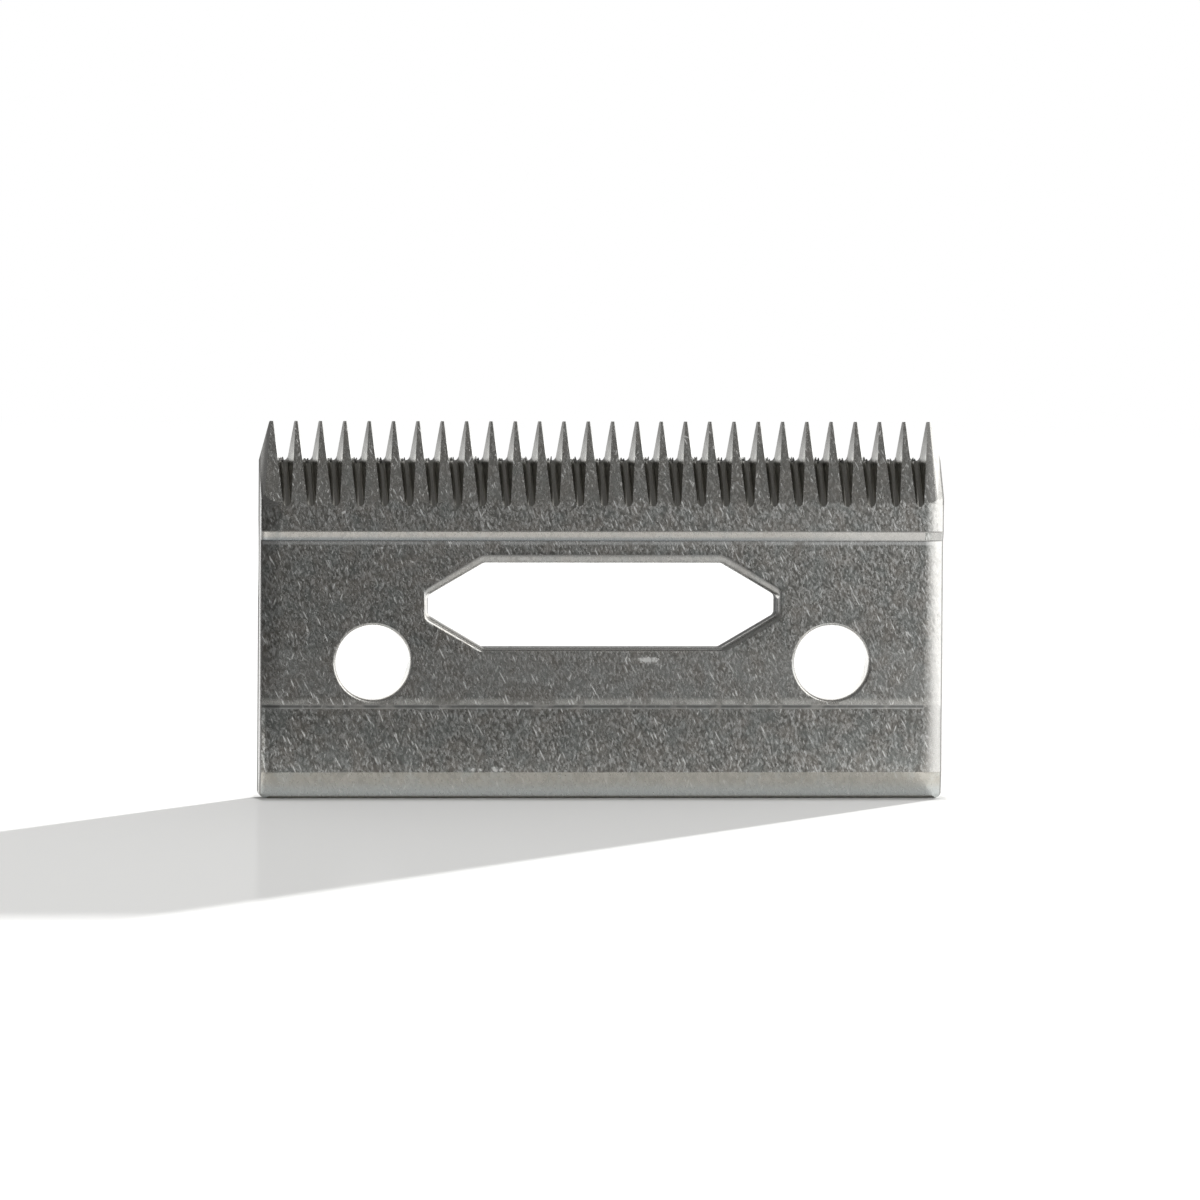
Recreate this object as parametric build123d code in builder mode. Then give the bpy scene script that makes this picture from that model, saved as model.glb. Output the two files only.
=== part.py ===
from build123d import *
import os
from math import cos, hypot, radians, sin

# Still blade of a two-hole hair clipper: one piece of steel strip, blanked, hardened, ground and tumbled.
# Millimetres. The blade stands on its rear edge: X runs along the row of teeth, Z up to the tooth tips.
# The outer face, which lies on the skin, looks to -Y. The inner face, on which the cutter runs, looks to +Y.
# Lengths along the blade are taken from the tips, because the tips and the screw holes set how it is fitted.

# Blank
blade_width = 46.0
blade_length = 25.2
blade_thickness = 2.5
heel_corner_radius = 0.45

# Sides of the outer face, rolled over by the blanking die
roll_width = 0.95
roll_depth = 0.45

# Teeth, parted by slots that are ground on a slant from the outer face right through
tooth_pitch = 1.64
tooth_bevel_length = 5.35
tip_thickness = 0.3
tip_flat = 0.04
tip_width = 0.12
slot_overrun = 0.25
slot_slant = 40.0
slot_floor_width = 0.46
slot_root_radius = 0.28

# Outer face, from the teeth down: front land, high step, web, low step, tail, heel bevel
land_length = 1.95
land_step_length = 0.6
land_step_depth = 0.35
tail_step_length = 0.3
tail_step_depth = 0.06
heel_bevel_length = 1.75
heel_bevel_depth = 0.35

# Screw holes
hole_radius = 2.5
hole_spacing = 30.9
hole_to_tips = 16.08
hole_rim_radius = 0.22
hole_rim_to_tail_step = 0.1

# Window between the holes and the teeth: a long hexagon with blunt ends
window_flat_length = 16.0
window_taper_length = 3.75
window_width = 5.7
window_end_width = 1.3
window_to_land_step = 1.5
window_corner_radius = 0.4
window_rim_radius = 0.5

# Inner face: front race for the cutter, hollow-ground relief, and the rear seat below it
race_length = 6.6
relief_length = 5.4
relief_depth = 0.3

os.makedirs("parts", exist_ok=True)

# Places that follow from the sizes
side_x = blade_width / 2
roll_x = side_x - roll_width
inner_y = blade_thickness / 2
land_y = -blade_thickness / 2
web_y = land_y + land_step_depth
tail_y = web_y + tail_step_depth
heel_y = tail_y + heel_bevel_depth
tip_y = inner_y - tip_thickness
section_back = 2 * blade_thickness
tooth_bevel_foot = blade_length - tooth_bevel_length
land_step_head = tooth_bevel_foot - land_length
land_step_foot = land_step_head - land_step_length
hole_height = blade_length - hole_to_tips
tail_step_head = hole_height - hole_radius - hole_rim_radius - hole_rim_to_tail_step
window_height = land_step_foot - window_to_land_step - window_width / 2
window_half_flat = window_flat_length / 2
window_half_length = window_half_flat + window_taper_length
relief_head = blade_length - race_length
outer_line = [
    (heel_y, 0),
    (tail_y, heel_bevel_length),
    (tail_y, tail_step_head - tail_step_length),
    (web_y, tail_step_head),
    (web_y, land_step_foot),
    (land_y, land_step_head),
    (land_y, blade_length),
]

# A slot's floor leaves the front land just below the tooth bevel, and its walls flare until only tip_width is
# left at the tips. As many whole teeth as the blade is wide.
tooth_count = int(blade_width / tooth_pitch)
row_x = tooth_count * tooth_pitch / 2
slot_foot = tooth_bevel_foot - slot_overrun
slot_run = (0, sin(radians(slot_slant)), cos(radians(slot_slant)))
slot_plane = Plane(origin=(0, land_y, slot_foot), x_dir=(-1, 0, 0), z_dir=slot_run)
slot_mouth = slot_plane.to_local_coords(Vector(0, tip_y, blade_length)).Y
slot_top = slot_mouth + tip_thickness
slot_mouth_width = tooth_pitch - tip_width
slot_travel = blade_length - slot_foot + blade_thickness

with BuildPart() as still_blade:
    # Plate: a section with rolled-over sides, carried up the line of the outer face
    for (foot_y, foot_z), (head_y, head_z) in zip(outer_line, outer_line[1:]):
        with BuildSketch(Plane(origin=(0, foot_y, foot_z))):
            with BuildLine():
                Line((-roll_x, 0), (roll_x, 0))
                EllipticalCenterArc((roll_x, roll_depth), roll_width, roll_depth, 270, arc_size=90)
                Line((side_x, roll_depth), (side_x, section_back))
                Line((side_x, section_back), (-side_x, section_back))
                Line((-side_x, section_back), (-side_x, roll_depth))
                EllipticalCenterArc((-roll_x, roll_depth), roll_width, roll_depth, 180, arc_size=90)
            make_face()
        extrude(amount=hypot(head_y - foot_y, head_z - foot_z), dir=(0, head_y - foot_y, head_z - foot_z))

    # Blanked outline with rounded heel corners, and the inner face ground flat
    with BuildSketch(Plane.XZ.offset(-inner_y)) as outline:
        Rectangle(blade_width, blade_length, align=(Align.CENTER, Align.MIN))
        fillet(outline.vertices().group_by(Axis.Y)[0], heel_corner_radius)
    extrude(amount=blade_thickness, mode=Mode.INTERSECT)

    # Screw holes, with rims rolled over on the outer face
    with BuildSketch(Plane.XZ):
        with Locations((0, hole_height)):
            with GridLocations(hole_spacing, 0, 2, 1):
                Circle(hole_radius)
    extrude(amount=blade_thickness, both=True, mode=Mode.SUBTRACT)
    fillet(still_blade.edges(Select.LAST).group_by(Axis.Y)[0], hole_rim_radius)

    # Window, with its rim rolled over on the outer face
    with BuildSketch(Plane.XZ) as window:
        with Locations((0, window_height)):
            Polygon(
                (-window_half_flat, -window_width / 2),
                (window_half_flat, -window_width / 2),
                (window_half_length, -window_end_width / 2),
                (window_half_length, window_end_width / 2),
                (window_half_flat, window_width / 2),
                (-window_half_flat, window_width / 2),
                (-window_half_length, window_end_width / 2),
                (-window_half_length, -window_end_width / 2),
            )
        fillet(window.vertices(), window_corner_radius)
    extrude(amount=blade_thickness, both=True, mode=Mode.SUBTRACT)
    fillet(still_blade.edges(Select.LAST).group_by(Axis.Y)[0], window_rim_radius)

    # Hollow-ground relief across the inner face
    with BuildSketch(Plane.YZ):
        with BuildLine():
            ThreePointArc(
                (inner_y, relief_head),
                (inner_y - relief_depth, relief_head - relief_length / 2),
                (inner_y, relief_head - relief_length),
            )
            Line((inner_y, relief_head - relief_length), (inner_y, relief_head))
        make_face()
    extrude(amount=blade_width, both=True, mode=Mode.SUBTRACT)

    # Tooth bevel on the outer face, and rounded tips
    bevel_out = (0, -tooth_bevel_length, tip_y - land_y)
    bevel_plane = Plane(origin=(0, land_y, tooth_bevel_foot), x_dir=(1, 0, 0), z_dir=bevel_out)
    split(bisect_by=bevel_plane, keep=Keep.BOTTOM)
    fillet(still_blade.edges().filter_by(Axis.X).group_by(Axis.Z)[-1], (tip_thickness - tip_flat) / 2)

    # Slots between the teeth
    with BuildSketch(slot_plane) as slots:
        with GridLocations(tooth_pitch, 0, tooth_count - 1, 1):
            Polygon(
                (-slot_floor_width / 2, 0),
                (slot_floor_width / 2, 0),
                (slot_mouth_width / 2, slot_mouth),
                (slot_mouth_width / 2, slot_top),
                (-slot_mouth_width / 2, slot_top),
                (-slot_mouth_width / 2, slot_mouth),
            )
        fillet(slots.vertices().group_by(Axis.Y)[0], slot_root_radius)
    extrude(amount=slot_travel, both=True, mode=Mode.SUBTRACT)

    # Outer flanks of the end teeth, which run out at the sides of the blade
    with BuildSketch(slot_plane):
        Polygon(
            (side_x, 0),
            (side_x + tooth_pitch, 0),
            (side_x + tooth_pitch, slot_top),
            (row_x - slot_mouth_width / 2, slot_top),
            (row_x - slot_mouth_width / 2, slot_mouth),
        )
        mirror(about=Plane.YZ)
    extrude(amount=slot_travel, both=True, mode=Mode.SUBTRACT)

still_blade.part.label = "still_blade"
export_step(still_blade.part, "parts/still_blade.step")
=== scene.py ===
import bpy
import bmesh
import random
from math import cos, exp, radians, sin
from mathutils import Matrix, Vector


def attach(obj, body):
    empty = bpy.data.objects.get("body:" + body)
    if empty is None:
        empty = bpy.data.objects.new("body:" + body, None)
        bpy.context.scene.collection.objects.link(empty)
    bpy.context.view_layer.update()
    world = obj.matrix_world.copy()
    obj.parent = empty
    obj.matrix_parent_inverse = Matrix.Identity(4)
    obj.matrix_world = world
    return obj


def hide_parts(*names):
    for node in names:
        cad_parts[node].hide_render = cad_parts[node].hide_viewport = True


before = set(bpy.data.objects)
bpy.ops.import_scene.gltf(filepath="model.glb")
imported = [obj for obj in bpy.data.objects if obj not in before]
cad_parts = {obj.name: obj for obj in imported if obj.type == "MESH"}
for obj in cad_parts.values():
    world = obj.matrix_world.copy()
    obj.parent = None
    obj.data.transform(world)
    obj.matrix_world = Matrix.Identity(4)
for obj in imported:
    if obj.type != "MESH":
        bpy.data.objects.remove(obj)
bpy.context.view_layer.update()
mm = 0.001
scene = bpy.context.scene
scene.view_settings.view_transform = "Standard"
print("frame loaded:", sorted(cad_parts))


def direction(azimuth, elevation):  # degrees; azimuth 0 is straight behind the blade, 90 is to its right
    a, e = radians(azimuth), radians(elevation)
    return Vector((sin(a) * cos(e), cos(a) * cos(e), sin(e)))


def addObject(name, bm):  # the place stays in the mesh, the object sits at the origin
    mesh = bpy.data.meshes.new(name)
    bm.to_mesh(mesh)
    bm.free()
    obj = bpy.data.objects.new(name, mesh)
    scene.collection.objects.link(obj)
    return obj


# short calls that add one shader node and wire or set its inputs
def feed(tree, socket, value):
    if isinstance(value, bpy.types.NodeSocket):
        tree.links.new(value, socket)
    else:
        socket.default_value = value


def addNode(tree, kind, values=None, **settings):
    node = tree.nodes.new("ShaderNode" + kind)
    for key, value in settings.items():
        setattr(node, key, value)
    for key, value in (values or {}).items():
        feed(tree, node.inputs[key], value)
    return node


def calc(tree, operation, a, b=0.0, clamp=False):
    return addNode(tree, "Math", {0: a, 1: b}, operation=operation, use_clamp=clamp).outputs[0]


def ramp(tree, value, low, high, toLow=0.0, toHigh=1.0, kind="SMOOTHSTEP"):
    values = {"Value": value, "From Min": low, "From Max": high, "To Min": toLow, "To Max": toHigh}
    return addNode(tree, "MapRange", values, interpolation_type=kind).outputs[0]


def blend(tree, factor, a, b):
    node = addNode(tree, "Mix", data_type="RGBA")
    feed(tree, node.inputs[0], factor)
    feed(tree, node.inputs[6], a)
    feed(tree, node.inputs[7], b)
    return node.outputs[2]


def place(tree, where, location, rotation, scale):  # coordinates counted in lengths of scale along turned axes
    values = {"Vector": where, "Location": location, "Rotation": rotation, "Scale": scale}
    return addNode(tree, "Mapping", values, vector_type="TEXTURE").outputs[0]


def newTree(name):
    material = bpy.data.materials.new(name)
    material.use_nodes = True
    material.node_tree.nodes.clear()
    return material, material.node_tree


def metal(tree, tone, rough, height, depth, metallic=1.0):
    bump = addNode(tree, "Bump", {"Strength": 1.0, "Distance": depth, "Height": height})
    values = {"Base Color": tone, "Metallic": metallic, "Roughness": rough, "Normal": bump.outputs[0]}
    shader = addNode(tree, "BsdfPrincipled", values)
    out = addNode(tree, "OutputMaterial")
    tree.links.new(shader.outputs[0], out.inputs[0])


tumbledFinish = {
    "tone": (0.475, 0.47, 0.445, 1.0),
    "pitTone": (0.24, 0.235, 0.22, 1.0),
    "fleckTone": (0.86, 0.86, 0.84, 1.0),
    "coolTone": (0.42, 0.475, 0.475, 1.0),
    "warmTone": (0.54, 0.485, 0.435, 1.0),
    "nickTone": (0.98, 0.98, 0.97, 1.0),
    "nickRough": 0.44,  # scratched metal also mirrors the bright sides of the room
    "roughness": 0.27,
    "grain": [  # two crossing lays of fine strokes; lean is from upright
        {"lean": -22.0, "size": (0.17 * mm, 0.30 * mm, 0.48 * mm), "share": 0.55},
        {"lean": 13.0, "size": (0.17 * mm, 0.30 * mm, 0.38 * mm), "share": 0.45},
    ],
    "speckle": {"lean": -20.0, "size": (0.10 * mm, 0.20 * mm, 0.17 * mm), "share": 0.26},
    "grainDepth": 0.005 * mm,
    "grainShare": 1.0,
    "nicks": [  # short flecks first, then longer scratches; rare is the share of empty cells
        {"lean": -20.0, "size": (0.17 * mm, 0.40 * mm, 0.85 * mm), "rare": 0.60, "strength": 0.90},
        {"lean": 14.0, "size": (0.16 * mm, 0.40 * mm, 0.75 * mm), "rare": 0.70, "strength": 0.80},
        {"lean": -24.0, "size": (0.22 * mm, 0.60 * mm, 1.50 * mm), "rare": 0.68, "strength": 1.00},
        {"lean": -29.0, "size": (0.20 * mm, 0.60 * mm, 2.40 * mm), "rare": 0.80, "strength": 1.00},
        {"lean": 20.0, "size": (0.24 * mm, 0.60 * mm, 1.30 * mm), "rare": 0.82, "strength": 0.90},
        {"lean": -62.0, "size": (0.24 * mm, 0.60 * mm, 1.10 * mm), "rare": 0.86, "strength": 0.90},
    ],
    "bands": [  # painted shade at the foot of the teeth's fronts, wear on the web, and painted highlights above the low step and under the high one
        # painted shade along the foot of the teeth's fronts
        {"from": 19.68 * mm, "to": 19.95 * mm, "tone": (0.32, 0.315, 0.30, 1.0), "share": 0.5},
        {
            "from": 6.30 * mm, "to": 7.20 * mm, "stopFrom": 10.20 * mm, "stopTo": 9.60 * mm,
            "tone": (0.74, 0.735, 0.71, 1.0), "share": 0.26, "brokenUp": (0.38, 0.52, 0.3),
        },
        # painted highlight just above the low step, broken up in places
        {
            "from": 6.85 * mm, "to": 6.46 * mm, "stopFrom": 6.20 * mm, "stopTo": 6.28 * mm,
            "tone": (0.97, 0.96, 0.91, 1.0), "share": 0.95, "brokenUp": (0.38, 0.52, 0.35),
        },
        # painted highlight in a strip under the high step, broken up in places
        {
            "from": 16.95 * mm, "to": 17.08 * mm, "stopFrom": 17.26 * mm, "stopTo": 17.18 * mm,
            "tone": (0.92, 0.93, 0.92, 1.0), "share": 0.8, "brokenUp": (0.38, 0.52, 0.3),
        },
    ],
    "right": {  # the right side is rolled smooth, and its tone is painted lighter as a sheen of the bright right side
        "from": 21.6 * mm, "to": 22.5 * mm, "tone": (0.80, 0.79, 0.765, 1.0), "share": 0.9, "grain": 0.12,
    },
}

rolledFinish = {
    "tone": (0.72, 0.71, 0.685, 1.0),
    "pitTone": (0.64, 0.63, 0.61, 1.0),
    "fleckTone": (0.82, 0.81, 0.79, 1.0),
    "nickTone": (0.90, 0.89, 0.87, 1.0),
    "nickRough": 0.0,
    "coolTone": (0.66, 0.70, 0.70, 1.0),
    "warmTone": (0.74, 0.70, 0.65, 1.0),
    "roughness": 0.27,
    "grain": [
        {"lean": -22.0, "size": (0.26 * mm, 0.30 * mm, 0.50 * mm), "share": 0.55},
        {"lean": 13.0, "size": (0.26 * mm, 0.30 * mm, 0.40 * mm), "share": 0.45},
    ],
    "speckle": {"lean": -20.0, "size": (0.14 * mm, 0.20 * mm, 0.24 * mm), "share": 0.10},
    "grainDepth": 0.002 * mm,
    "grainShare": 0.7,
    "nicks": [
        {"lean": -20.0, "size": (0.24 * mm, 0.60 * mm, 1.20 * mm), "rare": 0.70, "strength": 0.35},
        {"lean": 14.0, "size": (0.26 * mm, 0.60 * mm, 1.00 * mm), "rare": 0.75, "strength": 0.35},
    ],
    "bands": [],
    "right": None,
}

# the high step is polished, and its tone is painted lighter as a highlight of the floor it faces
stepFinish = dict(
    rolledFinish,
    tone=(0.86, 0.83, 0.78, 1.0), pitTone=(0.76, 0.735, 0.69, 1.0), fleckTone=(0.93, 0.90, 0.86, 1.0),
    # painted bluish shade along the foot of the high step
    bands=[{"from": 17.62 * mm, "to": 17.36 * mm, "tone": (0.50, 0.53, 0.545, 1.0), "share": 0.95}],
    # painted shade towards the right, where the step mirrors the lit floor
    right={"from": 6.0 * mm, "to": 21.0 * mm, "tone": (0.56, 0.55, 0.53, 1.0), "share": 0.9, "grain": 1.0},
)
# the heel's tone is painted darker, as shade near the floor it stands on
heelFinish = dict(
    rolledFinish,
    tone=(0.56, 0.54, 0.49, 1.0), pitTone=(0.50, 0.485, 0.44, 1.0), fleckTone=(0.63, 0.61, 0.56, 1.0),
    # painted bluish shade towards the bottom of the heel
    bands=[{"from": 1.30 * mm, "to": 0.40 * mm, "tone": (0.56, 0.585, 0.58, 1.0), "share": 0.9}],
)
# the low step faces up to the dim ceiling: it is rougher, and its tone is painted darker as shade
shadedLowStepFinish = dict(
    rolledFinish,
    tone=(0.46, 0.46, 0.45, 1.0), pitTone=(0.36, 0.36, 0.35, 1.0), fleckTone=(0.56, 0.56, 0.55, 1.0),
    roughness=0.38,
    # painted dark line of shade at the low step
    bands=[{
        "from": 6.27 * mm, "to": 6.22 * mm, "stopFrom": 6.06 * mm, "stopTo": 6.11 * mm,
        "tone": (0.20, 0.20, 0.195, 1.0), "share": 0.95, "brokenUp": (0.33, 0.44, 0.45),
    }],
)

groundFinish = {  # what the ground and the blanked finishes share
    "roughness": 0.26,
    "metallic": 1.0,
    "turn": (0.0, 0.0, 0.0),
    "grooveDepth": 0.0025 * mm,
    "grooveFrom": 0.58,
    "grooveTo": 0.36,
    "grooveRough": 0.10,
}

raceFinish = dict(  # inner face: bright race and seat, with the hollow between them ground duller
    groundFinish, tone=(0.55, 0.545, 0.53, 1.0), grooveTone=(0.38, 0.375, 0.365, 1.0),
    stretch=(4.0 * mm, 0.05 * mm, 0.05 * mm), hollowTone=(0.36, 0.355, 0.345, 1.0),
    hollowFrom=13.2 * mm, hollowTo=18.6 * mm, hollowEdge=0.10 * mm, hollowShare=0.55, hollowRough=0.08,
)
slotFinish = dict(  # dark in the slots, with a painted reflection of the bright background on the flanks of the teeth above them
    groundFinish, tone=(0.46, 0.45, 0.42, 1.0), grooveTone=(0.36, 0.35, 0.325, 1.0),
    turn=(radians(-40.0), 0.0, 0.0), stretch=(0.05 * mm, 0.05 * mm, 3.0 * mm),
    flankSheen=(0.97, 0.97, 0.95, 1.0), flankFrom=22.35 * mm, flankTo=22.75 * mm,
    tipTone=(0.55, 0.545, 0.53, 1.0), tipFrom=23.2 * mm, tipTo=24.8 * mm,
)
burrFinish = dict(
    groundFinish, tone=(0.20, 0.195, 0.19, 1.0), grooveTone=(0.15, 0.15, 0.145, 1.0),
    stretch=(0.05 * mm, 0.05 * mm, 0.2 * mm),
)
blankedFinish = dict(  # sides as the die leaves them: a bright sheared band, then a dull torn one
    groundFinish, tone=(0.60, 0.595, 0.58, 1.0), grooveTone=(0.50, 0.495, 0.48, 1.0), roughness=0.28,
    grooveDepth=0.003 * mm, stretch=(0.05 * mm, 1.2 * mm, 0.07 * mm), tornTone=(0.20, 0.195, 0.19, 1.0),
    tornFrom=0.30 * mm, tornTo=0.55 * mm, tornRough=0.2, ragged=0.5 * mm,
)
wallFinish = dict(  # walls of the window, darker and half metallic, darkest over most of their depth
    blankedFinish, tone=(0.30, 0.298, 0.29, 1.0), grooveTone=(0.22, 0.218, 0.21, 1.0), roughness=0.42,
    metallic=0.5, tornTone=(0.12, 0.12, 0.12, 1.0), tornFrom=-0.35 * mm, tornTo=-0.10 * mm,
)

paintedEdgeLine = {  # outermost strip of the outer face, painted as a thin dark line along the sides
    "from": 22.85 * mm,
    "to": 22.93 * mm,
    "tone": (0.30, 0.295, 0.285, 1.0),
}

# single marks on the outer face, in mm: middle in X and Z, half length and half width, turn from level
dings = [
    {"at": (3.0, 9.3), "reach": (0.85, 0.21), "turn": -3.0},
    {"at": (20.7, 11.0), "reach": (0.40, 0.06), "turn": -40.0},
    {"at": (-17.5, 19.2), "reach": (0.16, 0.10), "turn": 30.0},
    {"at": (-14.9, 16.8), "reach": (0.14, 0.09), "turn": 0.0},
    {"at": (-8.7, 1.93), "reach": (0.20, 0.13), "turn": 20.0},
    {"at": (-8.2, 1.92), "reach": (0.17, 0.11), "turn": -30.0},
    {"at": (-7.2, 1.95), "reach": (0.23, 0.15), "turn": -40.0},
    {"at": (-6.8, 1.91), "reach": (0.16, 0.12), "turn": 40.0},
]

grainLevels = {  # levels of the patterns at which the marks come in
    "cloudScale": 0.25 / mm,
    "cloudFrom": 0.3,
    "cloudTo": 0.7,
    "cloudLeast": 0.8,
    "cloudMost": 1.15,
    "tintScale": 0.8 / mm,
    "tintShare": 0.25,
    "coolFrom": 0.51,
    "coolTo": 0.66,
    "warmFrom": 0.49,
    "warmTo": 0.34,
    "pitFrom": 0.51,
    "pitTo": 0.36,
    "pitRough": 0.06,
    "fleckFrom": 0.52,
    "fleckTo": 0.68,
    "nickFrom": 0.24,   # distances from the middle of a scratch, in cells
    "nickTo": 0.13,
    "nickRise": 0.2,    # share of the cells with a weaker scratch
    "nickDepth": 0.5,
    "nickShift": (7.3, 3.1, 5.7),  # mm from one layer to the next
    "dingThrough": 10.0 * mm,
    "dingRagged": 2.2,
    "dingFrom": 1.0,
    "dingTo": 0.5,
}


def nickLayer(tree, where, layer, seed):  # one scratch at most in each cell of a stretched pattern
    shift = tuple(seed * part * mm for part in grainLevels["nickShift"])
    spot = place(tree, where, shift, (0.0, radians(layer["lean"]), 0.0), layer["size"])
    cells = addNode(tree, "TexVoronoi", {"Vector": spot, "Scale": 1.0, "Randomness": 1.0})
    shape = ramp(tree, cells.outputs["Distance"], grainLevels["nickFrom"], grainLevels["nickTo"])
    chance = addNode(tree, "SeparateColor", {"Color": cells.outputs["Color"]}).outputs[0]
    full = layer["rare"] + grainLevels["nickRise"]
    return calc(tree, "MULTIPLY", shape, ramp(tree, chance, layer["rare"], full, 0.0, layer["strength"]))


def dingMark(tree, where, ding, grain):  # the grain makes its edge ragged
    middle = (ding["at"][0] * mm, 0.0, ding["at"][1] * mm)
    size = (ding["reach"][0] * mm, grainLevels["dingThrough"], ding["reach"][1] * mm)
    spot = place(tree, where, middle, (0.0, radians(-ding["turn"]), 0.0), size)
    reach = addNode(tree, "VectorMath", {0: spot}, operation="LENGTH").outputs["Value"]
    ragged = calc(tree, "MULTIPLY", calc(tree, "SUBTRACT", grain, 0.5), grainLevels["dingRagged"])
    return ramp(tree, calc(tree, "ADD", reach, ragged), grainLevels["dingFrom"], grainLevels["dingTo"])


def strongest(tree, masks):
    total = masks[0]
    for mask in masks[1:]:
        total = calc(tree, "MAXIMUM", total, mask)
    return total


def grainLayer(tree, where, layer):
    spot = place(tree, where, (0.0, 0.0, 0.0), (0.0, radians(layer["lean"]), 0.0), layer["size"])
    noise = addNode(tree, "TexNoise", {"Vector": spot, "Scale": 1.0, "Detail": 1.5, "Roughness": 0.5})
    return calc(tree, "MULTIPLY", noise.outputs[0], layer["share"])


def speckleLayer(tree, where, layer):  # one level for each small cell, so that the grain is crisp
    spot = place(tree, where, (0.0, 0.0, 0.0), (0.0, radians(layer["lean"]), 0.0), layer["size"])
    cells = addNode(tree, "TexVoronoi", {"Vector": spot, "Scale": 1.0, "Randomness": 1.0})
    level = addNode(tree, "SeparateColor", {"Color": cells.outputs["Color"]}).outputs[1]
    return ramp(tree, level, 0.0, 1.0, -layer["share"] / 2, layer["share"] / 2, kind="LINEAR")


def softNoise(tree, where, scale):
    return addNode(tree, "TexNoise", {"Vector": where, "Scale": scale, "Detail": 2.0}).outputs[0]


# paints a thin dark line on the outermost strip along the sides
def rimTone(tree, where, tone):
    across = calc(tree, "ABSOLUTE", addNode(tree, "SeparateXYZ", {0: where}).outputs["X"])
    return blend(tree, ramp(tree, across, paintedEdgeLine["from"], paintedEdgeLine["to"]), tone, paintedEdgeLine["tone"])


def bandMask(tree, height, band, tint):
    strip = ramp(tree, height, band["from"], band["to"], 0.0, band["share"])
    if "brokenUp" in band:  # it ends again higher or lower, and is here and there broken up by a soft noise
        low, high, least = band["brokenUp"]
        strip = calc(tree, "MULTIPLY", strip, ramp(tree, height, band["stopFrom"], band["stopTo"]))
        strip = calc(tree, "MULTIPLY", strip, ramp(tree, tint, low, high, least, 1.0))
    return strip


def tumbledSteel(name, finish, marks):
    material, tree = newTree(name)
    levels = grainLevels
    where = addNode(tree, "TexCoord").outputs["Object"]
    spot = addNode(tree, "SeparateXYZ", {0: where}).outputs
    grain = calc(tree, "ADD", *[grainLayer(tree, where, layer) for layer in finish["grain"]])
    grain = calc(tree, "ADD", grain, speckleLayer(tree, where, finish["speckle"]))
    cloud = softNoise(tree, where, levels["cloudScale"])
    tint = softNoise(tree, where, levels["tintScale"])

    nicks = [nickLayer(tree, where, layer, seed) for seed, layer in enumerate(finish["nicks"])]
    nicks = strongest(tree, nicks + [dingMark(tree, where, ding, grain) for ding in marks])
    share = ramp(tree, cloud, levels["cloudFrom"], levels["cloudTo"], levels["cloudLeast"], levels["cloudMost"])
    share = calc(tree, "MULTIPLY", share, finish["grainShare"])
    pits = ramp(tree, grain, levels["pitFrom"], levels["pitTo"])
    pits = calc(tree, "MULTIPLY", pits, share, clamp=True)
    flecks = ramp(tree, grain, levels["fleckFrom"], levels["fleckTo"])
    flecks = calc(tree, "MULTIPLY", flecks, share, clamp=True)
    cool = ramp(tree, tint, levels["coolFrom"], levels["coolTo"], 0.0, levels["tintShare"])
    warm = ramp(tree, tint, levels["warmFrom"], levels["warmTo"], 0.0, levels["tintShare"])

    tone = blend(tree, pits, finish["tone"], finish["pitTone"])
    tone = blend(tree, flecks, tone, finish["fleckTone"])
    tone = blend(tree, cool, tone, finish["coolTone"])
    tone = blend(tree, warm, tone, finish["warmTone"])
    for band in finish["bands"]:
        tone = blend(tree, bandMask(tree, spot["Z"], band, tint), tone, band["tone"])
    tone = blend(tree, nicks, tone, finish["nickTone"])
    height = calc(tree, "SUBTRACT", grain, calc(tree, "MULTIPLY", nicks, levels["nickDepth"]))
    right = finish["right"]
    # toward the right the tone goes over to a painted one: a lighter sheen on the face, darker shade on the
    # high step
    if right:
        smooth = ramp(tree, spot["X"], right["from"], right["to"], 0.0, right["share"])
        tone = blend(tree, smooth, tone, right["tone"])
        left = ramp(tree, spot["X"], right["from"], right["to"], 1.0, right["grain"])
        height = calc(tree, "MULTIPLY", height, left)
    tone = rimTone(tree, where, tone)

    rough = calc(tree, "ADD", calc(tree, "MULTIPLY", pits, levels["pitRough"]), finish["roughness"])
    rough = calc(tree, "ADD", rough, calc(tree, "MULTIPLY", nicks, finish["nickRough"]))
    metal(tree, tone, rough, height, finish["grainDepth"])
    return material


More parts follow.
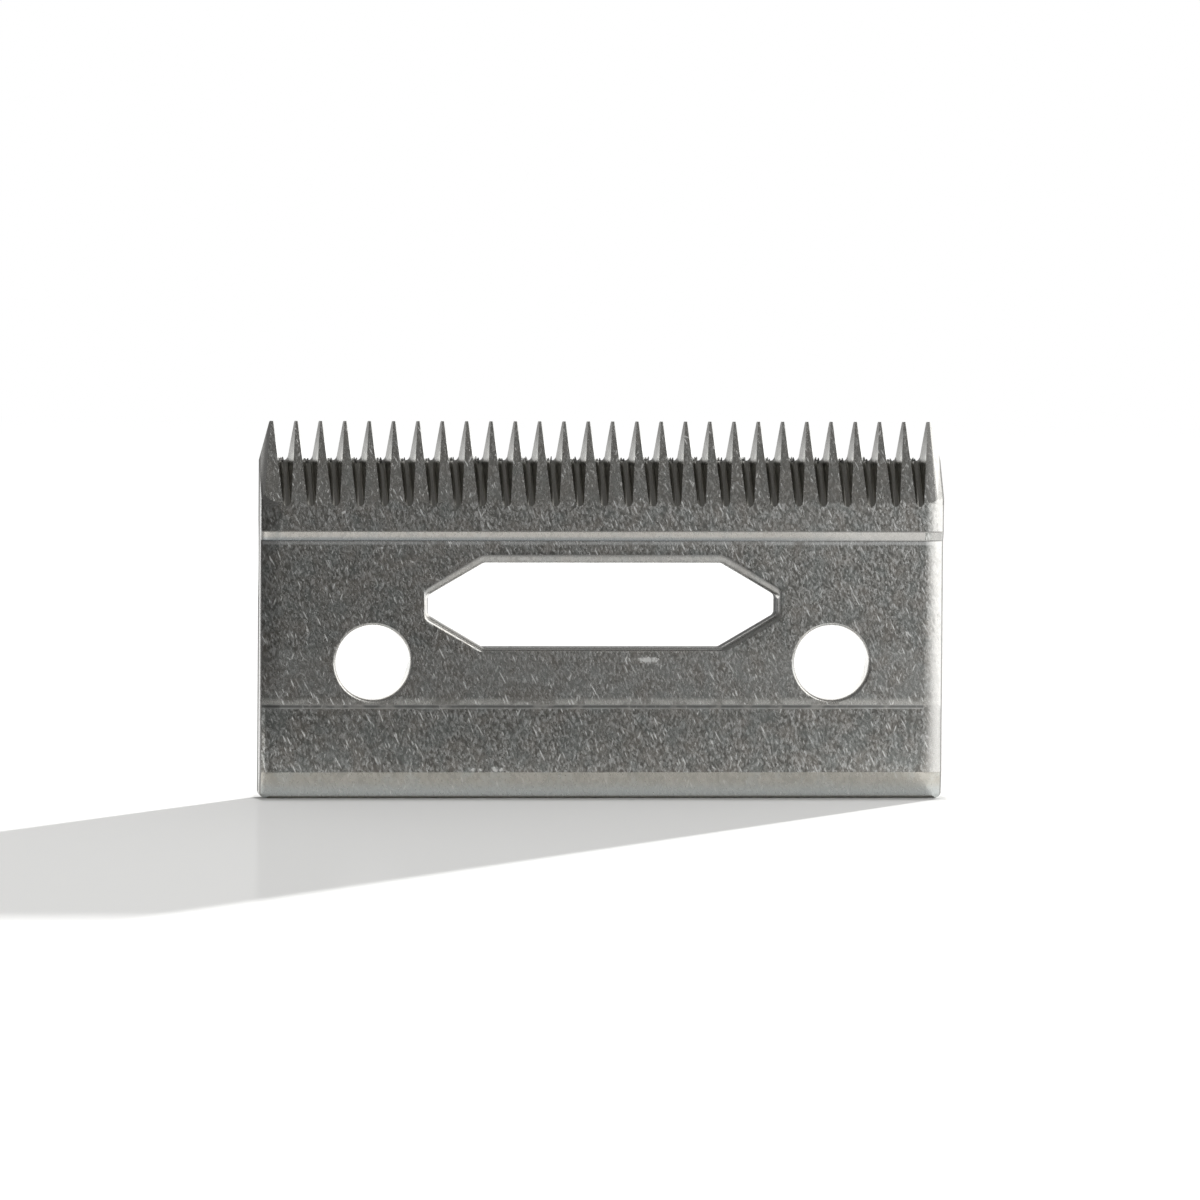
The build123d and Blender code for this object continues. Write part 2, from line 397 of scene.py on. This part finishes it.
def groundSteel(name, finish):  # fine marks of the wheel or the die, stretched along the way of working
    material, tree = newTree(name)
    where = addNode(tree, "TexCoord").outputs["Object"]
    spot = addNode(tree, "SeparateXYZ", {0: where}).outputs
    along = place(tree, where, (0.0, 0.0, 0.0), finish["turn"], finish["stretch"])
    noise = addNode(tree, "TexNoise", {"Vector": along, "Scale": 1.0, "Detail": 4.0, "Roughness": 0.65})
    grooves = noise.outputs[0]
    marks = ramp(tree, grooves, finish["grooveFrom"], finish["grooveTo"])
    tone = blend(tree, marks, finish["tone"], finish["grooveTone"])
    rough = calc(tree, "ADD", calc(tree, "MULTIPLY", marks, finish["grooveRough"]), finish["roughness"])
    if "tornTone" in finish:
        ragged = calc(tree, "MULTIPLY", calc(tree, "SUBTRACT", grooves, 0.5), finish["ragged"])
        torn = ramp(tree, calc(tree, "ADD", spot["Y"], ragged), finish["tornFrom"], finish["tornTo"])
        tone = blend(tree, torn, tone, finish["tornTone"])
        rough = calc(tree, "ADD", rough, calc(tree, "MULTIPLY", torn, finish["tornRough"]))
    else:
        tone = rimTone(tree, where, tone)
    if "hollowTone" in finish:
        low, high, edge = finish["hollowFrom"], finish["hollowTo"], finish["hollowEdge"]
        hollow = ramp(tree, spot["Z"], low, low + edge)
        hollow = calc(tree, "MULTIPLY", hollow, ramp(tree, spot["Z"], high, high - edge))
        tone = blend(tree, calc(tree, "MULTIPLY", hollow, finish["hollowShare"]), tone, finish["hollowTone"])
        rough = calc(tree, "ADD", rough, calc(tree, "MULTIPLY", hollow, finish["hollowRough"]))
    # painted reflection of the bright background on the flanks of the teeth
    if "flankSheen" in finish:
        flank = ramp(tree, spot["Z"], finish["flankFrom"], finish["flankTo"])
        tip = ramp(tree, spot["Z"], finish["tipFrom"], finish["tipTo"])
        tone = blend(tree, flank, tone, finish["flankSheen"])
        tone = blend(tree, tip, tone, finish["tipTone"])
    metal(tree, tone, rough, grooves, finish["grooveDepth"], finish["metallic"])
    return material


bladeSteels = {  # in the order of the blade's material slots
    "face": tumbledSteel("tumbledFace", tumbledFinish, dings),
    "roll": tumbledSteel("rolledEdges", rolledFinish, []),
    "inner": groundSteel("groundRace", raceFinish),
    "slot": groundSteel("groundSlots", slotFinish),
    "highStep": tumbledSteel("polishedLitStep", stepFinish, []),
    "heel": tumbledSteel("groundShadedHeel", heelFinish, []),
    "lowStep": tumbledSteel("shadedLowStep", shadedLowStepFinish, []),
    "side": groundSteel("blankedSides", blankedFinish),
    "window": groundSteel("blankedWindow", wallFinish),
}
burrSteel = groundSteel("tornBurrs", burrFinish)
print("finishes made")


bladeShape = {
    "plateBreak": 0.045 * mm,  # widest break of an edge; the clamp on overlaps leaves about 0.003 mm of it
    "heelBreak": 0.17 * mm,
    "stepBreak": 0.05 * mm,
    "toothBreak": 0.022 * mm,  # the clamp leaves strips without width, which only soften the shading
    "breakSegments": 2,
    "edgeFrom": radians(28.0),
    "creaseFrom": radians(4.0),
    "sharpFrom": radians(40.0),
    "sharpOnTeeth": radians(10.0),
    "panelWidth": 0.25 * mm,
    "rollFrom": 22.05 * mm,
    "rollWiden": 1.37,
    "rollBack": -0.35 * mm,    # Y, and then the span in Z, of what is widened
    "rollLow": 0.5 * mm,
    "rollHigh": 21.0 * mm,
    "smoothFrom": 21.69 * mm,
    "halfWidth": 23.0 * mm,
    "heelBelow": 1.75 * mm,
    "tailFrom": 5.9 * mm,
    "tailTo": 6.35 * mm,
    "stepFrom": 17.3 * mm,
    "stepTo": 17.9 * mm,
    "stepBack": -0.3 * mm,
    "teethAbove": 19.5 * mm,
    "tipsAbove": 24.9 * mm,
    "wallsWithin": 11.9 * mm,  # reach of the window's walls in X and Z
    "wallsFrom": 9.9 * mm,
    "wallsTo": 16.0 * mm,
    "mergeWithin": 0.0005 * mm,
    "flatWithin": radians(0.3),
    "touching": 0.001 * mm,
    "near": 0.01 * mm,
}

facing = {  # least or most share of a face's normal that looks one way
    "inner": 0.9,
    "side": 0.99,
    "outward": 0.02,
    "front": 0.96,
    "slanted": 0.3,
    "stepDown": 0.2,
    "tailDown": 0.1,
    "wall": 0.4,
    "panel": 0.8,
    "panelAcross": 0.01,
    "facet": 0.9,
    "facetAcross": 0.02,
}

endFlank = {
    "from": 0.02 * mm,   # past smoothFrom
    "low": 19.80 * mm,
    "high": 20.70 * mm,
    "back": -0.60 * mm,
    "landY": -1.25 * mm,
    "foot": 19.85 * mm,  # of the tooth bevel
    "rise": 5.35 / 2.2,
    "flatten": 0.25,
    "squeeze": 0.62,
}

windowLip = {
    "faceY": -0.90 * mm,
    "depth": 0.50 * mm,
    "middle": 12.95 * mm,
    "slack": 0.001,
    "lines": [  # one quarter of the outline: way out in X and Z, distance, and width and depth of the roll
        {
            "out": (0.0, 1.0), "distance": 2.85 * mm,
            "above": (0.85 * mm, 0.30 * mm), "below": (0.20 * mm, 0.50 * mm),
        },
        {
            "out": (0.506, 0.8625), "distance": 6.506 * mm,
            "above": (0.60 * mm, 0.40 * mm), "below": (0.48 * mm, 0.40 * mm),
        },
        {
            "out": (1.0, 0.0), "distance": 11.75 * mm,
            "above": (0.30 * mm, 0.50 * mm), "below": (0.30 * mm, 0.50 * mm),
        },
    ],
    "soft": 0.12 * mm,
    "reach": (-0.10 * mm, 0.62 * mm),
}

slotNumbers = {name: number for number, name in enumerate(bladeSteels)}


def isPanel(face):  # a flat stretch of the outer face, as against a narrow strip of a rounding
    longest = max(edge.calc_length() for edge in face.edges)
    looksOut = abs(face.normal.x) < facing["panelAcross"] and face.normal.y < -facing["panel"]
    return looksOut and face.calc_area() / longest > bladeShape["panelWidth"]


def isFacet(face):  # flat front of a tooth, or another flat stretch that looks straight out
    return abs(face.normal.x) < facing["facetAcross"] and face.normal.y < -facing["facet"]


def finishOf(face):
    n = face.normal
    x, z = face.calc_center_median().xz
    outer = abs(x) > bladeShape["smoothFrom"] and n.x * x > facing["outward"] * abs(x)
    smooth = outer and n.x > 0.0  # the right side is rolled smooth, so the steps run out there
    if n.y > facing["inner"]:
        return "inner"
    if outer and abs(n.x) > facing["side"]:
        return "side"
    if z > bladeShape["teethAbove"]:
        if isFacet(face) or smooth:
            return "face"
        return "inner" if outer else "slot"
    slanted = n.y < -facing["slanted"]
    if z < bladeShape["heelBelow"]:
        return "heel" if slanted else "roll"
    onStep = bladeShape["stepFrom"] < z < bladeShape["stepTo"]
    if onStep and slanted and n.z < -facing["stepDown"] and not smooth:
        return "highStep"
    onTail = bladeShape["tailFrom"] < z < bladeShape["tailTo"]
    if onTail and n.z < -facing["tailDown"] and not smooth:
        return "lowStep"
    inWindow = abs(x) < bladeShape["wallsWithin"] and bladeShape["wallsFrom"] < z < bladeShape["wallsTo"]
    if inWindow and abs(n.y) < facing["wall"]:
        return "window"
    return "face" if n.y < -facing["front"] or outer else "roll"


def isBroken(edge):
    return len(edge.link_faces) == 2 and edge.calc_face_angle() > bladeShape["edgeFrom"]


def isCrease(edge):
    panels = len(edge.link_faces) == 2 and all(isPanel(face) for face in edge.link_faces)
    return panels and bladeShape["creaseFrom"] < edge.calc_face_angle() <= bladeShape["edgeFrom"]


def isHeel(edge):  # lower front edge, on which the blade stands
    return all(v.co.z < bladeShape["touching"] and v.co.y < 0.0 for v in edge.verts)


def isStep(edge):  # head and foot of the high step, over the rolls too
    if len(edge.link_faces) != 2 or edge.calc_face_angle() < bladeShape["creaseFrom"]:
        return False
    if any(v.co.y >= bladeShape["stepBack"] for v in edge.verts):
        return False
    heights = (bladeShape["stepFrom"], bladeShape["stepTo"])
    return any(all(abs(v.co.z - height) < bladeShape["near"] for v in edge.verts) for height in heights)


def topOf(edge):
    return max(v.co.z for v in edge.verts)


def rollWindow(bm):  # widens the rim into a bowl-shaped roll
    for vert in bm.verts:
        x, y, z = vert.co
        sunk = (y - windowLip["faceY"]) / windowLip["depth"]
        if not -windowLip["slack"] < sunk < 1.0 + windowLip["slack"]:
            continue
        sunk = min(max(sunk, 0.0), 1.0)
        east = 1.0 if x > 0.0 else -1.0
        north = 1.0 if z > windowLip["middle"] else -1.0
        right, up = abs(x), abs(z - windowLip["middle"])
        outs = [line["out"][0] * right + line["out"][1] * up - line["distance"] for line in windowLip["lines"]]
        if not windowLip["reach"][0] < max(outs) < windowLip["reach"][1]:
            continue
        shares = [exp((out - max(outs)) / windowLip["soft"]) for out in outs]
        way = Vector((0.0, 0.0, 0.0))
        width, depth = 0.0, 0.0
        part = "above" if north > 0.0 else "below"
        for line, share in zip(windowLip["lines"], shares):
            way += share * Vector((east * line["out"][0], 0.0, north * line["out"][1]))
            width += share * line[part][0] / sum(shares)
            depth += share * line[part][1] / sum(shares)
        was = windowLip["depth"] * (1.0 - (1.0 - (1.0 - sunk) ** 2) ** 0.5)
        rolled = width * (1.0 - sunk ** 0.5)
        vert.co += (rolled - was) * way.normalized()
        vert.co.y = windowLip["faceY"] + depth * sunk


def widenRolls(bm):  # the sides of the outer face roll over more gently than in the plain solid
    halfWidth = bladeShape["halfWidth"]
    for vert in bm.verts:
        x, y, z = vert.co
        onRoll = bladeShape["rollFrom"] - bladeShape["near"] < abs(x) < halfWidth - bladeShape["touching"]
        if onRoll and y < bladeShape["rollBack"] and bladeShape["rollLow"] < z < bladeShape["rollHigh"]:
            side = 1.0 if x > 0.0 else -1.0
            vert.co.x = side * (halfWidth - (halfWidth - abs(x)) * bladeShape["rollWiden"])


def trimEnd(bm):  # the row stands a little to the left, so the right end's flank reaches further in
    for vert in bm.verts:
        x, y, z = vert.co
        out = x - bladeShape["smoothFrom"]
        onEnd = endFlank["from"] < out and x < bladeShape["halfWidth"] - bladeShape["touching"]
        if onEnd and y < endFlank["back"] and endFlank["low"] < z < endFlank["high"]:
            sunk = (y - endFlank["landY"]) * endFlank["flatten"]
            vert.co.x = bladeShape["smoothFrom"] + out * endFlank["squeeze"]
            vert.co.y = endFlank["landY"] + sunk
            vert.co.z = endFlank["foot"] + sunk * endFlank["rise"]


def breakEdges(bm, edges, width, finish=None):
    bmesh.ops.bevel(
        bm, geom=[edge for edge in edges if edge.is_valid], offset=width, offset_type="OFFSET", affect="EDGES",
        segments=bladeShape["breakSegments"], profile=0.5, material=slotNumbers[finish] if finish else -1,
        clamp_overlap=True,
    )


def makeBlade():
    bm = bmesh.new()
    bm.from_mesh(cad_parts["still_blade"].data)
    bmesh.ops.remove_doubles(bm, verts=bm.verts, dist=bladeShape["mergeWithin"])
    bmesh.ops.dissolve_limit(bm, angle_limit=bladeShape["flatWithin"], verts=bm.verts, edges=bm.edges)
    rollWindow(bm)
    widenRolls(bm)
    trimEnd(bm)
    bm.normal_update()
    for face in bm.faces:
        face.material_index = slotNumbers[finishOf(face)]
        face.smooth = True
    creases = [edge for edge in bm.edges if isCrease(edge) and not isStep(edge)]
    broken = [edge for edge in bm.edges if isBroken(edge)]
    heel = [edge for edge in broken if isHeel(edge)]
    low = [edge for edge in broken if topOf(edge) < bladeShape["teethAbove"]]
    step = [edge for edge in bm.edges if isStep(edge)]
    plate = [edge for edge in low if edge not in heel and edge not in step]
    teeth = [edge for edge in broken if edge not in low and topOf(edge) < bladeShape["tipsAbove"]]
    breakEdges(bm, heel, bladeShape["heelBreak"], "slot")
    breakEdges(bm, step, bladeShape["stepBreak"], "highStep")
    # the broken plate and tooth edges take the lighter rolled tone, a painted edge highlight
    breakEdges(bm, plate, bladeShape["plateBreak"], "roll")
    breakEdges(bm, creases, bladeShape["plateBreak"])
    breakEdges(bm, teeth, bladeShape["toothBreak"], "roll")
    bm.normal_update()
    for edge in bm.edges:
        onTooth = topOf(edge) > bladeShape["teethAbove"] and any(isFacet(face) for face in edge.link_faces)
        sharpFrom = bladeShape["sharpOnTeeth"] if onTooth else bladeShape["sharpFrom"]
        edge.smooth = len(edge.link_faces) == 2 and edge.calc_face_angle() < sharpFrom
    blade = addObject("still_blade_steel", bm)
    for material in bladeSteels.values():
        blade.data.materials.append(material)
    normals = blade.modifiers.new("evenNormals", "WEIGHTED_NORMAL")
    normals.keep_sharp = True
    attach(blade, "root")
    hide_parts("still_blade")
    return blade


blade = makeBlade()
print("blade:", len(blade.data.polygons), "faces")


burrShape = {
    "pitch": 1.64 * mm,
    "count": 27,
    "depth": 1.11 * mm,  # Y of the ragged lip that grinding leaves where a slot breaks through
    "foot": 22.56 * mm,
    "offsets": (-0.22 * mm, -0.08 * mm),
    "stray": 0.03,       # mm to either side
    "lean": 14.0,
    "spin": 3.0,         # radians at most
    "height": (0.14 * mm, 0.30 * mm),
    "radius": (0.07 * mm, 0.12 * mm),
    "tipRadius": 0.03 * mm,
    "sides": 5,
    "seed": 11,
}


def makeBurrs():
    dice = random.Random(burrShape["seed"])
    bm = bmesh.new()
    for number in range(burrShape["count"]):
        middle = (number - (burrShape["count"] - 1) / 2) * burrShape["pitch"]
        for offset in burrShape["offsets"]:
            height = dice.uniform(*burrShape["height"])
            across = middle + offset + dice.uniform(-burrShape["stray"], burrShape["stray"]) * mm
            spot = Vector((across, burrShape["depth"], burrShape["foot"] + height / 2))
            lean = Matrix.Rotation(radians(dice.uniform(-burrShape["lean"], burrShape["lean"])), 4, "Y")
            spin = Matrix.Rotation(dice.uniform(0.0, burrShape["spin"]), 4, "Z")
            bmesh.ops.create_cone(
                bm, cap_ends=True, segments=burrShape["sides"], radius1=dice.uniform(*burrShape["radius"]),
                radius2=burrShape["tipRadius"], depth=height, matrix=Matrix.Translation(spot) @ (lean @ spin),
            )
    burrs = addObject("slot_burrs", bm)
    burrs.data.materials.append(burrSteel)
    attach(burrs, "root")
    return burrs


burrs = makeBurrs()
print("burrs:", len(burrs.data.polygons), "faces")


studio = {
    "brightSide": (66.0, 0.0),  # azimuth and elevation of the middle of the bright surroundings
    "darkFrom": -0.75,          # cosine to that middle at which the room is darkest
    "brightFrom": 0.12,
    "fall": 4.6,
    "darkLevel": 0.14,
    "brightLevel": 1.45,
    "ceilingFrom": 0.30,        # height of the look at which the room goes over to the ceiling
    "ceilingTo": 0.90,
    "ceilingLevel": 0.15,
    "roomTone": (1.0, 0.995, 0.98, 1.0),
    "softBox": (146.0, 28.0),   # azimuth and elevation of a soft light in front, to the right and above
    "softFrom": 0.95,
    "softTo": 0.99,
    "softLevel": 1.5,
    "sunAzimuth": 29.7,
    "sunElevation": 11.05,
    "sunStrength": 8.6,
    "sunAngle": 1.2,
}

cardShape = {  # studio card that keeps the sun out of the openings, so that the shadow is whole
    "width": 45.8 * mm,
    "height": 25.0 * mm,
    "front": -1.27 * mm,
}

floorShape = {
    "size": 6.0,
    "tone": (0.86, 0.86, 0.85, 1.0),
    "lift": 0.280,        # what the camera and the metal see on top of the lamps' light
    "footFrom": 0.0012,   # metres in front of the foot over which that light comes up, leaving a painted contact shadow along the foot
    "footTo": 0.0046,
    "metalFrom": 0.0005,  # the same for the metal, a painted shade at the foot in its reflection
    "metalTo": 0.0012,
    "halfBlade": 0.023,
    "endsFaster": 6.0,    # hardly any of that painted shade past the ends
    "shine": 0.05,
    "shineTone": (0.9, 0.9, 0.9, 1.0),
    "shineRough": 0.12,
    "whiteFrom": 0.30,    # metres from the blade at which the floor goes over to plain white
    "whiteTo": 0.60,
    "roomFrom": 0.0110,   # the same for the metal, to which the floor goes over into a painted reflection of the room
    "roomTo": 0.0250,
    "roomDepth": 0.16,    # how far off that room stands
    "roomTurn": 0.114,
}


def roomLevel(tree, look):  # bright behind and to the right, dim in front and to the left
    side = addNode(tree, "VectorMath", {0: look, 1: direction(*studio["brightSide"])}, operation="DOT_PRODUCT")
    share = ramp(tree, side.outputs["Value"], studio["darkFrom"], studio["brightFrom"], kind="LINEAR")
    level = calc(tree, "POWER", share, studio["fall"])
    level = ramp(tree, level, 0.0, 1.0, studio["darkLevel"], studio["brightLevel"], kind="LINEAR")
    up = addNode(tree, "SeparateXYZ", {0: look}).outputs["Z"]
    ceiling = ramp(tree, up, studio["ceilingFrom"], studio["ceilingTo"])
    walls = calc(tree, "MULTIPLY", level, calc(tree, "SUBTRACT", 1.0, ceiling))
    level = calc(tree, "ADD", walls, calc(tree, "MULTIPLY", ceiling, studio["ceilingLevel"]))
    front = addNode(tree, "VectorMath", {0: look, 1: direction(*studio["softBox"])}, operation="DOT_PRODUCT")
    soft = ramp(tree, front.outputs["Value"], studio["softFrom"], studio["softTo"], 0.0, studio["softLevel"])
    return calc(tree, "ADD", level, soft)


def paperFloor():
    material, tree = newTree("paperFloor")
    rays = addNode(tree, "LightPath").outputs
    toMetal = calc(tree, "MAXIMUM", rays["Is Glossy Ray"], rays["Is Transmission Ray"])
    seen = calc(tree, "MAXIMUM", rays["Is Camera Ray"], toMetal)
    where = addNode(tree, "TexCoord").outputs["Object"]
    paper = addNode(tree, "BsdfDiffuse", {"Color": floorShape["tone"]})
    shine = {"Color": floorShape["shineTone"], "Roughness": floorShape["shineRough"]}
    gloss = addNode(tree, "BsdfGlossy", shine)
    surface = addNode(tree, "MixShader", {0: floorShape["shine"], 1: paper.outputs[0], 2: gloss.outputs[0]})
    spot = addNode(tree, "SeparateXYZ", {0: where}).outputs
    across = calc(tree, "SUBTRACT", calc(tree, "ABSOLUTE", spot["X"]), floorShape["halfBlade"])
    across = calc(tree, "MAXIMUM", across, 0.0)
    gap = addNode(tree, "CombineXYZ", {"X": across, "Y": spot["Y"]}).outputs[0]
    beside = addNode(tree, "VectorMath", {0: gap}, operation="LENGTH").outputs["Value"]
    ahead = calc(tree, "ADD", beside, calc(tree, "MULTIPLY", across, floorShape["endsFaster"]))
    # the lift comes up away from the foot, leaving a painted contact shadow there for the camera and for the
    # metal
    toCamera = ramp(tree, ahead, floorShape["footFrom"], floorShape["footTo"], 0.0, floorShape["lift"])
    toCamera = calc(tree, "MULTIPLY", toCamera, rays["Is Camera Ray"])
    mirrored = ramp(tree, beside, floorShape["metalFrom"], floorShape["metalTo"], 0.0, floorShape["lift"])
    mirrored = calc(tree, "MULTIPLY", mirrored, toMetal)
    lift = addNode(tree, "Emission", {"Strength": calc(tree, "ADD", toCamera, mirrored)})
    near = addNode(tree, "AddShader", {0: surface.outputs[0], 1: lift.outputs[0]})

    reach = addNode(tree, "VectorMath", {0: where}, operation="LENGTH").outputs["Value"]
    away = ramp(tree, reach, floorShape["whiteFrom"], floorShape["whiteTo"])
    white = addNode(tree, "Emission", {"Strength": 1.0})
    away = calc(tree, "MULTIPLY", away, seen)
    far = addNode(tree, "MixShader", {0: away, 1: near.outputs[0], 2: white.outputs[0]})

    # past roomFrom the floor shows the metal a painted reflection of the room instead of itself
    beyond = ramp(tree, beside, floorShape["roomFrom"], floorShape["roomTo"])
    turn = calc(tree, "MULTIPLY", calc(tree, "ADD", spot["Y"], floorShape["roomDepth"]), floorShape["roomTurn"])
    wall = calc(tree, "MULTIPLY", calc(tree, "SIGN", spot["Y"]), floorShape["roomDepth"])
    wall = addNode(tree, "CombineXYZ", {"X": calc(tree, "ADD", spot["X"], turn), "Y": wall}).outputs[0]
    look = addNode(tree, "VectorMath", {0: wall}, operation="NORMALIZE").outputs[0]
    room = addNode(tree, "Emission", {"Strength": roomLevel(tree, look)})
    beyond = calc(tree, "MULTIPLY", beyond, toMetal)
    both = addNode(tree, "MixShader", {0: beyond, 1: far.outputs[0], 2: room.outputs[0]})
    out = addNode(tree, "OutputMaterial")
    tree.links.new(both.outputs[0], out.inputs[0])
    return material


def makeFloor():
    bm = bmesh.new()
    bmesh.ops.create_grid(bm, x_segments=1, y_segments=1, size=floorShape["size"] / 2)
    floor = addObject("floor", bm)
    floor.data.materials.append(paperFloor())


def makeWorld():
    world = scene.world or bpy.data.worlds.new("studio")
    scene.world = world
    world.use_nodes = True
    tree = world.node_tree
    tree.nodes.clear()
    look = addNode(tree, "TexCoord").outputs["Generated"]
    room = addNode(tree, "Background", {"Color": studio["roomTone"], "Strength": roomLevel(tree, look)})
    white = addNode(tree, "Background", {"Color": (1.0, 1.0, 1.0, 1.0), "Strength": 1.0})
    seen = addNode(tree, "LightPath").outputs["Is Camera Ray"]
    both = addNode(tree, "MixShader", {0: seen, 1: room.outputs[0], 2: white.outputs[0]})
    out = addNode(tree, "OutputWorld")
    tree.links.new(both.outputs[0], out.inputs[0])


def makeSun():
    lamp = bpy.data.lights.new("keySun", "SUN")
    lamp.energy = studio["sunStrength"]
    lamp.angle = radians(studio["sunAngle"])
    sun = bpy.data.objects.new("keySun", lamp)
    scene.collection.objects.link(sun)
    towards = direction(studio["sunAzimuth"], studio["sunElevation"])
    sun.rotation_euler = (-towards).to_track_quat("-Z", "Y").to_euler()
    sun.location = towards
    sun.visible_glossy = False  # the metal mirrors the room only


def makeCard():
    bm = bmesh.new()
    bmesh.ops.create_grid(bm, x_segments=1, y_segments=1, size=0.5)
    bmesh.ops.scale(bm, vec=(cardShape["width"], cardShape["height"], 1.0), verts=bm.verts)
    bmesh.ops.rotate(bm, matrix=Matrix.Rotation(radians(90.0), 3, "X"), verts=bm.verts)
    bmesh.ops.translate(bm, vec=(0.0, cardShape["front"], cardShape["height"] / 2), verts=bm.verts)
    card = addObject("shadeCard", bm)
    card.visible_camera = False
    card.visible_diffuse = False
    card.visible_glossy = False
    card.visible_transmission = False


shot = {
    "azimuth": -6.5,      # degrees, minus is to the left of the face
    "elevation": 3.0,
    "distance": 1150.0 * mm,
    "aim": Vector((-0.105 * mm, 0.0, 13.266 * mm)),
    "roll": 0.377,
    "fieldOfView": 4.0043,
    "clip": (0.01, 20.0),
}


def makeCamera():
    a, e = radians(shot["azimuth"]), radians(shot["elevation"])
    back = Vector((sin(a) * cos(e), -cos(a) * cos(e), sin(e)))
    right = (-back).cross(Vector((0.0, 0.0, 1.0))).normalized()
    up = right.cross(-back)
    turn = radians(shot["roll"])
    across = cos(turn) * right + sin(turn) * up
    upright = cos(turn) * up - sin(turn) * right
    data = bpy.data.cameras.new("camera")
    data.sensor_fit = "HORIZONTAL"
    data.angle = radians(shot["fieldOfView"])
    data.clip_start, data.clip_end = shot["clip"]
    camera = bpy.data.objects.new("camera", data)
    scene.collection.objects.link(camera)
    where = Matrix((across, upright, back)).transposed().to_4x4()
    where.translation = shot["aim"] + shot["distance"] * back
    camera.matrix_world = where
    scene.camera = camera


makeFloor()
makeWorld()
makeSun()
makeCard()
makeCamera()
print("floor, light and camera set")
